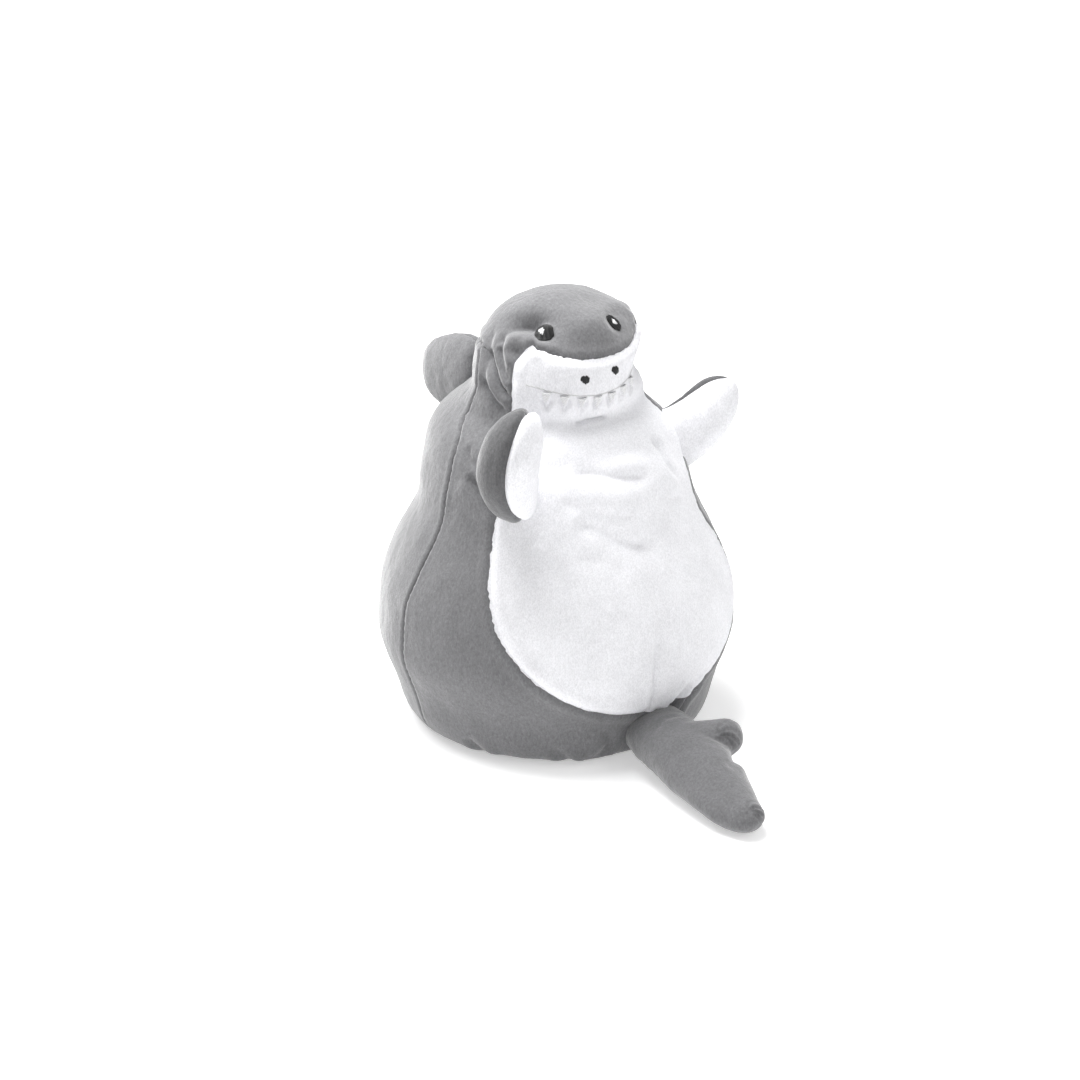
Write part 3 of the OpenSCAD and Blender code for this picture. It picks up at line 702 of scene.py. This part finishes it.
def make_torso_fill():
    """Lumpy fibre that leaves room for the pouch below and for the head's ball above."""
    turn = np.arange(0, 360, 3.0)
    roof = SKIN + POUCH_LIFT + POUCH_H + 0.6
    inner = [(2, roof), (15, roof), (POUCH_R - 6, roof), (POUCH_R - 1, roof - 3),
             (POUCH_R + 0.8, roof - 9), (POUCH_R + 0.8, 5), (POUCH_R + 1, 2.2)]
    rings = [ring(turn, r, z) for r, z in inner]
    for h in levels(2.4, 107, 2.5):
        b = body(turn, h)
        n = body_normal(turn, h)
        lump = 4.6 + 1.1 * noise(b, 9, 61) + 0.6 * noise(b, 4, 62)
        p = b - n * lump[:, None]
        p[:, 2] = np.maximum(p[:, 2], 2.2)
        rings.append(p)
    bowl = BOWL_R + BOWL_ROOM
    edge = np.arcsin((106.0 - PIVOT[2]) / bowl)
    for e in np.linspace(edge, -np.pi / 2 + 0.05, 12):
        rings.append(ring(turn, bowl * np.cos(e), PIVOT[2] + bowl * np.sin(e), PIVOT[1]))
    return closed("torso_fill", np.array(rings), PIVOT - [0, 0, bowl], [0, 0, roof], FIBRE)


def make_head_fill():
    """Lumpy fibre of the head, with the ball below it that turns in the torso's bowl."""
    turn = np.arange(0, 360, 3.0)
    ball = BALL_R - 1
    rings = []
    for e in np.linspace(-80, -48, 8) * DEG:
        rings.append(ring(turn, ball * np.cos(e), PIVOT[2] + ball * np.sin(e), PIVOT[1]))
    for h in levels(110, TOP_H - 0.6, 1.6):
        b = body(turn, h)
        n = body_normal(turn, h)
        lump = 6.2 + 0.8 * noise(b, 7, 73) + 8 * np.clip((116 - h) / 6, 0, 1)
        rings.append(b - n * lump[:, None])
    top = body(0, TOP_H) - [0, 0, 6.4]
    return closed("head_fill", np.array(rings), top, PIVOT - [0, 0, BALL_R - 0.5], FIBRE)


def pouch_looks():
    for name, material in (("pellet_pouch", cloth_material()), ("pellets", pellet_material())):
        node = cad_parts[name]
        node.data.materials.clear()
        node.data.materials.append(material)


# ---------- fins ----------
def loft(spec, rows, turn, shrink=0.0, twist=0):
    """Rings round a curved centre line. The spec has points along the line, half sizes wide
    and thick at those points, and across, the direction of the width."""
    points, wide, thick, across = (np.array(spec[k], float) for k in ("points", "wide", "thick", "across"))
    t = (1 - np.cos(np.pi * np.linspace(0.02, 0.997, rows))) / 2
    k = np.linspace(0, 1, len(points))
    fit = [np.polyfit(k, points[:, i], len(points) - 1) for i in range(3)]
    inset = shrink / np.linalg.norm(points[-1] - points[0])
    at = inset + t * (1 - 2 * inset)
    C = np.stack([np.polyval(f, at) for f in fit], -1)
    D = unit(np.stack([np.polyval(np.polyder(f), at) for f in fit], -1))
    W = unit(across - (D @ across)[:, None] * D)
    T = np.cross(D, W)
    end = np.where(t < 0.5, ROOT_POWER, TIP_POWER)
    round_off = np.clip(1 - np.abs(2 * t - 1) ** end, 0, 1) ** (1 / end)
    w = (np.interp(t, k, wide) - shrink) * round_off
    h = (np.interp(t, k, thick) - shrink) * round_off
    spin = (np.arange(turn) / turn * 2 * np.pi)[None] + (twist * DEG * t ** 2)[:, None]
    c, s = np.cos(spin)[..., None], np.sin(spin)[..., None]
    return C[:, None] + w[:, None, None] * c * W[:, None] + h[:, None, None] * s * T[:, None]


def loft_normals(P):
    across = np.roll(P, -1, 1) - np.roll(P, 1, 1)
    along = np.gradient(P, axis=0)
    N = unit(np.cross(across, along))
    middle = P.mean(1, keepdims=True)
    if ((P - middle) * N).sum() < 0:
        N = -N
    return N


def half_panel(name, P, N, first, material, lift, seed):
    """One of a loft's two panels: half its columns from first, with a seam at both edges."""
    turn = P.shape[1]
    count = turn // 2
    idx = (first + np.arange(count + 1)) % turn
    p, n = P[:, idx], N[:, idx]
    flat = p.reshape(-1, 3)
    height = 0.35 * noise(flat, 8, seed) + 0.15 * noise(flat, 3.5, seed + 1) + pile(flat, seed)
    height = height.reshape(p.shape[:2])
    along = np.arange(count + 1) / count
    width = np.linalg.norm(np.diff(p, axis=1), axis=2).sum(1)[:, None]
    dist = np.minimum(along, 1 - along)[None] * width
    height = height - FIN_SEAM * np.exp(-dist ** 2) + 0.3 * np.exp(-((dist - 3) / 2) ** 2)
    height = height + lift * smooth(dist / 2)
    return shell(name, p + n * height[..., None], n, FIN_THICK, material)


def fill_of(name, spec, seed):
    P = loft(spec, 30, 48, shrink=FILL_INSET)
    N = loft_normals(P)
    P = P + N * (0.35 * noise(P.reshape(-1, 3), 5, seed).reshape(P.shape[:2]))[..., None]
    return closed(name, P, P[-1].mean(0), P[0].mean(0), FIBRE)


# How square the two ends of a fin are: 2 is an ellipse
ROOT_POWER, TIP_POWER = 5.0, 2.7
FINS = {
    "left": dict(
        points=[(33, -18.8, 102.6), (38, -21.6, 104.4), (43.4, -25.2, 109.0),
                (49.0, -29.1, 117.2), (52.6, -31.6, 126.8)],
        wide=[11.5, 11.3, 10.6, 9.8, 8.6], thick=[8.5, 8.3, 7.8, 7.2, 6.4],
        across=(0.35, -0.55, -0.7), twist=38),
    "right": dict(
        points=[(-38.4, -26, 103), (-44.4, -32, 108), (-47.2, -36, 116.5),
                (-46, -39, 126), (-43.6, -42, 136.2)],
        wide=[12.8, 13.0, 12.2, 11.0, 9.8], thick=[9.5, 10.4, 10.6, 10.0, 9.2],
        across=(-0.55, -0.835, 0), twist=-24),
}


def make_fin(side):
    """The white panel of a fin is the half that faces forward."""
    spec = FINS[side]
    name = "fin_" + side
    half = FIN_TURN // 2
    P = loft(spec, 70, FIN_TURN, twist=spec["twist"])
    N = loft_normals(P)
    middle = P.mean(1)
    towards = np.cross(unit(middle[-1] - middle[0]), unit(np.array(spec["across"])))
    face = (P[35] - middle[35]) @ towards
    first = 0 if face[FIN_TURN // 4] > 0 else half
    if towards @ np.array([0.3, -0.9, 0.1]) <= 0:
        first = first + half
    inner = half_panel(name + "_inner_skin", P, N, first, WHITE, 0.25, 81)
    # Painted shade: the grey panel takes the darker copy of the grey plush
    outer = half_panel(name + "_outer_skin", P, N, first + half, SHADED_FIN_GREY, 0.0, 81)
    return inner, outer, fill_of(name + "_fill", spec, 87)


def dorsal_spec():
    y = LEAN * DORSAL_Z / TORSO_H + float(torso_radius(DORSAL_Z)) - 6
    line = ((8, 3.2), (16, 2.6), (26, 1.2), (36, -0.6), (45, -2.2))
    return dict(points=[(0, y + s, DORSAL_Z + z) for s, z in line], wide=[16.4, 16.4, 15.2, 13.4, 11.2],
                thick=[7.2, 7.4, 7.2, 6.4, 5.4], across=(0, 0, 1.0))


def make_dorsal():
    spec = dorsal_spec()
    half = FIN_TURN // 2
    P = loft(spec, 66, FIN_TURN)
    N = loft_normals(P)
    first = 0 if P[30, FIN_TURN // 4, 0] > 0 else half
    left = half_panel("dorsal_left_skin", P, N, first, GREY, 0, 91)
    right = half_panel("dorsal_right_skin", P, N, first + half, GREY, 0, 91)
    return left, right, fill_of("dorsal_fill", spec, 97)


# ---------- tail ----------
def whorl(P, centre, size, depth, petals):
    """Tufts that turn round a point, where the pile parts at a tip."""
    d = P - centre
    r = np.linalg.norm(d, axis=-1)
    ang = np.arctan2(d[..., 1], d[..., 0] + d[..., 2])
    tufts = depth * np.exp(-(r / size) ** 2) * np.cos(petals * ang + r * 1.1)
    return tufts - 0.6 * depth * np.exp(-(r / (0.3 * size)) ** 2)


def blob(points, faces, centre, radii, axes):
    """Adds an ellipsoid to a list of points and faces."""
    turn, rows = 28, 14
    start = len(points)
    for i in range(rows + 1):
        e = -math.pi / 2 + math.pi * i / rows
        for j in range(turn):
            a = 2 * math.pi * j / turn
            q = np.array([math.cos(e) * math.cos(a), math.cos(e) * math.sin(a), math.sin(e)]) * radii
            points.append(np.array(centre) + q @ axes)
    for i in range(rows):
        for j in range(turn):
            k = (j + 1) % turn
            low, high = start + i * turn, start + (i + 1) * turn
            faces.append([low + j, low + k, high + k, high + j])


# Centre, and half sizes across, along and up, then the turn about Z of each lump of the tail
TAIL_LUMPS = [
    ((1.0, -60, 10.2), (12.4, 12, 9.8), 0), ((-0.6, -68, 10.6), (13.2, 12, 10.3), 0),
    ((-2.2, -76, 10.6), (13.8, 12, 10.3), 0), ((-3.4, -84, 10.2), (14.2, 12, 9.9), 4),
    ((-4.6, -92, 9.6), (14.0, 12, 9.3), 8), ((-6.2, -100, 8.4), (13.2, 12, 8.1), 12),
    ((-8.2, -108, 7.3), (12.0, 12, 7.0), 16), ((-9.6, -115, 6.4), (10.2, 10, 6.1), 18),
    ((-9.8, -120.5, 5.9), (8.2, 9, 5.6), 18),
]
LOBE_LUMPS = [
    ((2.0, -80, 12.0), (9.4, 9.4, 9.0), 0), ((5.6, -82, 13.2), (8.8, 8.8, 8.2), 0),
    ((8.6, -84, 14.4), (8.0, 8.0, 7.4), 0), ((11.2, -85.6, 15.4), (7.2, 7.2, 6.8), 0),
]
TAIL_FILLERS = [((7.0, -76, 8.6), (7.4, 8.0, 7.6), 0), ((8.5, -80.5, 10.5), (7.0, 7.0, 7.0), 0)]
LONG_TIP = np.array([-9.0, -126, 8.2])
SHORT_TIP = np.array([8.4, -89.4, 17.6])


def between(lumps, extra=3):
    """The lumps of one chain with more lumps worked out between each two of them."""
    rows = np.array([[*c, *r, t] for c, r, t in lumps], float)
    k = np.linspace(0, len(rows) - 1, (len(rows) - 1) * (extra + 1) + 1)
    more = np.stack([np.interp(k, np.arange(len(rows)), rows[:, i]) for i in range(7)], -1)
    for _ in range(3):
        more[1:-1] = (more[:-2] + 2 * more[1:-1] + more[2:]) / 4
    return [(row[:3], row[3:6], row[6]) for row in more]


def fused(name, lumps, voxel):
    """Lumps melted into one skin: its points and normals in millimetres, and its faces."""
    points, faces = [], []
    for centre, radii, turn in lumps:
        c, s = math.cos(turn * DEG), math.sin(turn * DEG)
        axes = np.array([[c, -s, 0], [s, c, 0], [0, 0, 1]])
        blob(points, faces, centre, np.array(radii), axes)
    me = bpy.data.meshes.new(name)
    me.from_pydata(np.array(points) * MM, [], faces)
    obj = bpy.data.objects.new(name, me)
    bpy.context.scene.collection.objects.link(obj)
    remesh = obj.modifiers.new("remesh", "REMESH")
    remesh.mode = "VOXEL"
    remesh.voxel_size = voxel * MM
    calm = obj.modifiers.new("calm", "SMOOTH")
    calm.factor = 0.5
    calm.iterations = 14
    deps = bpy.context.evaluated_depsgraph_get()
    made = bpy.data.meshes.new_from_object(obj.evaluated_get(deps))
    bpy.data.objects.remove(obj)
    co = np.zeros(len(made.vertices) * 3)
    made.vertices.foreach_get("co", co)
    no = np.zeros(len(made.vertices) * 3)
    made.vertices.foreach_get("normal", no)
    faces = [list(p.vertices) for p in made.polygons]
    return co.reshape(-1, 3) / MM, no.reshape(-1, 3), faces


def tail_relief(P):
    out = 0.4 * noise(P, 9, 101) + 0.18 * noise(P, 4, 102) + pile(P, 103)
    out = out + whorl(P, LONG_TIP, 4.2, 0.6, 7) + whorl(P, SHORT_TIP, 4.4, 0.6, 7)
    crease = np.array([[11, -95, 10.0], [5.0, -98.5, 13.0], [-1, -103, 14.0]])
    at, dist, share = near(P, crease, 8)
    out[at] -= 2.4 * np.exp(-(dist / 2.4) ** 2) * (1 - 0.6 * share)
    for z in (4, 20):
        fold = np.array([[-11, -72, z], [-4, -70.5, z + 2], [4, -71, z + 2], [11, -73, z]])
        at, dist, share = near(P, fold, 8)
        out[at] -= 1.0 * np.exp(-(dist / 1.5) ** 2)
    return out


def make_tail():
    lumps = between(TAIL_LUMPS) + between(LOBE_LUMPS) + TAIL_FILLERS
    P, N, faces = fused("tail", lumps, 0.7)
    P = P + N * tail_relief(P)[:, None]
    P[:, 2] = np.maximum(P[:, 2], 0.15 + 0.1 * np.abs(noise(P, 2, 5)))
    skin = add_object("tail_skin", P, faces, GREY)
    inner = [(c, tuple(np.array(r) - FILL_INSET), t) for c, r, t in lumps]
    Q, M, faces = fused("tail_inside", inner, 1.4)
    fill = add_object("tail_fill", Q + M * (0.3 * noise(Q, 4, 111))[:, None], faces, FIBRE)
    return skin, fill


# ---------- embroidery ----------
def drape(a, h, x, y, lift):
    """Offsets x, y (mm, arrays) from (a, h) laid on the displaced fabric, lifted."""
    r_here = max(4.0, float(np.hypot(body(a, h)[0], body(a, h)[1] - HEAD_Y)))
    rate = np.linalg.norm(body(a, h + 0.5) - body(a, h - 0.5))
    A = a + x / r_here / DEG
    H = np.clip(h + y / rate, 0, TOP_H - 1)
    p = body(A, H)
    nn = body_normal(A, H)
    flat = p.reshape(-1, 3)
    return p + nn * (relief(flat).reshape(x.shape) + lift)[..., None], nn


def make_spot(name, a, h, rx, ry, dome, material, seed, tilt=0.0, rough=0.25, lift=0.35, threads=14):
    """A satin-stitched spot: a low dome with an uneven edge and raised threads."""
    rows, turn = 16, 72
    rho = np.linspace(0.02, 1, rows)[:, None]
    ang = np.linspace(0, 2 * np.pi, turn, endpoint=False)[None]
    edge = 1 + rough * noise(np.stack([np.cos(ang) * 3, np.sin(ang) * 3, 0 * ang + seed], -1), 1.0, seed)
    x, y = rho * rx * edge * np.cos(ang), rho * ry * edge * np.sin(ang)
    c, s = math.cos(tilt * DEG), math.sin(tilt * DEG)
    x, y = x * c - y * s, x * s + y * c
    thread = 0.07 * np.cos((x + 0.35 * y) * threads / max(rx, 1))
    height = lift + dome * (1 - rho ** 2.2) + thread * (rho < 0.95) - 0.5 * (rho > 0.97)
    P, N = drape(a, h, x, y, height)
    return shell(name, P, N, SPOT_THICK, material, wrap=True)


def make_eye(side, a, h, rx, ry, tilt):
    eye = make_spot("eye_%s_stitch" % side, a, h, rx, ry, 0.55, BLACK_THREAD, 121, tilt, 0.10)
    dx, dy, wide = (-0.75, -0.1, 1.1) if side == "right" else (-0.3, 0.1, 0.9)
    deg_x = dx / 22 / DEG
    mark = make_spot("eye_%s_mark" % side, a + deg_x, h + dy * 0.8, wide, 1.3, 0.18, WHITE_THREAD,
                     131, tilt, 0.4, 0.95, 6)
    return eye, mark


def thread_path(name, nodes, radius, material, lift=0.25, wobble=0.0):
    nodes = np.array(nodes, float)
    t = np.linspace(0, len(nodes) - 1, (len(nodes) - 1) * 12 + 1)
    A, H = (np.interp(t, np.arange(len(nodes)), nodes[:, i]) for i in (0, 1))
    base = body(A, H)
    n = body_normal(A, H)
    C = base + n * (relief(base) + lift)[:, None]
    D = unit(np.gradient(C, axis=0))
    S = np.cross(D, n)
    g = np.linspace(0, 2 * np.pi, 8, endpoint=False)
    beat = 1 + wobble * np.cos(t * 2 * np.pi / 1.4)
    oval = np.cos(g)[None, :, None] * S[:, None] * 1.3 + np.sin(g)[None, :, None] * n[:, None] * 0.7
    rings = C[:, None] + radius * beat[:, None, None] * oval
    return closed(name, rings, C[-1], C[0], material)


def make_teeth():
    """Satin-stitched teeth that hang under the mouth line, as one piece."""
    points, faces = [], []
    for i in range(TEETH):
        a0 = TOOTH_FIRST + TOOTH_STEP * i
        width, drop = 1.55, 5.4 - 0.25 * abs(i - 4)
        rows, cols = 20, 15
        v = np.linspace(0, 1, rows)[:, None]
        s = np.linspace(-1, 1, cols)[None]
        half = width * (1 - v) ** 0.9 + 0.12
        x = s * half + (-0.7 + 0.28 * i - 0.4) * v * 0.5
        y = -0.7 - v * drop + 0 * s
        height = 0.55 + 1.0 * np.sqrt(np.clip(1 - np.abs(s) ** 2.5, 0, 1)) * (1 - 0.5 * v ** 3)
        height = height + 0.09 * np.cos(v * 22 + s * 2) * (1 - np.abs(s))
        P, N = drape(a0, float(mouth_level(a0)), x, y, height)
        tooth, tooth_faces = sheet(P, N, TOOTH_THICK)
        faces.append(tooth_faces + sum(len(p) for p in points))
        points.append(tooth)
    faces = np.concatenate(faces).tolist()
    return add_object("teeth_satin", np.concatenate(points), faces, WHITE_THREAD)


# ---------- put it together ----------
def across_neck(obj):
    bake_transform(obj)


def finish_piece(obj, nodes, body_name=None):
    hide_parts(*nodes)
    if body_name:
        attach(obj, body_name)


def build_body():
    belly = make_belly()
    finish_piece(belly, ["belly_panel", "muzzle_panel"])
    across_neck(belly)
    for side, sign in (("left", 1), ("right", -1)):
        panel = make_side(sign)
        finish_piece(panel, ["side_panel_" + side, "cheek_" + side])
        across_neck(panel)
        panel = make_back(sign)
        finish_piece(panel, ["back_panel_" + side])
        across_neck(panel)
    finish_piece(make_crown(), ["head_crown"], "head")
    finish_piece(make_base(), ["base_panel"], "torso")
    finish_piece(make_torso_fill(), ["torso_stuffing"], "torso")
    finish_piece(make_head_fill(), ["head_stuffing"], "head")
    pouch_looks()


def build_face():
    for side, (a, h) in EYES.items():
        eye, mark = make_eye(side, a, h, *EYE_SIZE[side])
        finish_piece(eye, ["eye_" + side], "head")
        finish_piece(mark, ["eye_highlight_" + side], "head")
    for side, a, h in (("right", -18, 136.2), ("left", 6.5, 137.2)):
        spot = make_spot("nostril_%s_stitch" % side, a, h, 1.65, 1.75, 0.45, BLACK_THREAD,
                         141, 0, 0.3, 0.3, 8)
        finish_piece(spot, ["nostril_" + side], "head")
    # The mouth line's grey colour is painted shade on white stitching
    line = thread_path("mouth_line", MOUTH, 0.21, SHADED_LINE_THREAD, 0.3, 0.25)
    finish_piece(line, ["mouth_stitch"], "head")
    finish_piece(make_teeth(), ["teeth_stitch"], "head")


def build_fins():
    for side in ("left", "right"):
        name = "fin_" + side
        inner, outer, fill = make_fin(side)
        for obj, slot, node in ((inner, "white_plush", "_inner"), (outer, "grey_plush", "_outer"),
                                (fill, "fibre_stuffing", "_stuffing")):
            finish_piece(obj, [name + node])
            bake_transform(obj)
    left, right, fill = make_dorsal()
    for obj, slot, node in ((left, "grey_plush", "dorsal_left_panel"),
                            (right, "grey_plush", "dorsal_right_panel"),
                            (fill, "fibre_stuffing", "dorsal_stuffing")):
        finish_piece(obj, [node])
        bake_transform(obj)


def build_tail():
    skin, fill = make_tail()
    finish_piece(skin, ["tail_left_panel", "tail_right_panel", "tail_lobe_left_panel",
                                      "tail_lobe_right_panel"])
    finish_piece(fill, ["tail_stuffing", "tail_lobe_stuffing"])
    for obj in (skin, fill):
        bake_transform(obj)


# ---------- stage ----------
VIEW_TURN, VIEW_RISE, VIEW_FAR = 36, 22, 1.0
PX_PER_MM, FRAME_PX, SENSOR = 2.63, 1080, 36


def build_camera():
    t, e = VIEW_TURN * DEG, VIEW_RISE * DEG
    right = np.array([math.cos(t), -math.sin(t), 0])
    back = np.array([-math.sin(t) * math.cos(e), -math.cos(t) * math.cos(e), math.sin(e)])
    up = np.cross(back, right)
    target = (-16 * right + 160 * up) / PX_PER_MM * MM
    place = target + VIEW_FAR * back
    data = bpy.data.cameras.new("camera")
    data.sensor_width = SENSOR
    data.lens = PX_PER_MM / MM * VIEW_FAR * SENSOR / FRAME_PX
    data.clip_end = 20
    cam = bpy.data.objects.new("camera", data)
    cam.matrix_world = Matrix((
        (right[0], up[0], back[0], place[0]),
        (right[1], up[1], back[1], place[1]),
        (right[2], up[2], back[2], place[2]),
        (0, 0, 0, 1)))
    bpy.context.scene.collection.objects.link(cam)
    bpy.context.scene.camera = cam


def add_light(name, place, aim, size, power):
    data = bpy.data.lights.new(name, "AREA")
    data.shape = "DISK"
    data.size = size
    data.energy = power
    obj = bpy.data.objects.new(name, data)
    obj.location = place
    obj.rotation_euler = (Vector(aim) - Vector(place)).to_track_quat("-Z", "Y").to_euler()
    bpy.context.scene.collection.objects.link(obj)


def build_stage():
    me = bpy.data.meshes.new("floor")
    me.from_pydata([(-6, -6, 0), (6, -6, 0), (6, 6, 0), (-6, 6, 0)], [], [(0, 1, 2, 3)])
    me.materials.append(floor_material())
    floor = bpy.data.objects.new("floor", me)
    bpy.context.scene.collection.objects.link(floor)
    world = bpy.data.worlds.new("studio")
    world.use_nodes = True
    world.node_tree.nodes["Background"].inputs["Color"].default_value = (1, 1, 1, 1)
    world.node_tree.nodes["Background"].inputs["Strength"].default_value = 0.46
    bpy.context.scene.world = world
    bpy.context.scene.view_settings.view_transform = "Standard"
    add_light("key", (-0.12, 0.75, 1.2), (0, 0, 0.08), 1.3, 20)
    add_light("top", (-0.06, 0.04, 0.46), (0, 0, 0.15), 0.26, 1.7)
    add_light("front", (0.6, -0.9, 0.8), (0, 0, 0.09), 1.0, 2.6)


build_camera()
build_stage()
build_body()
build_face()
build_fins()
build_tail()
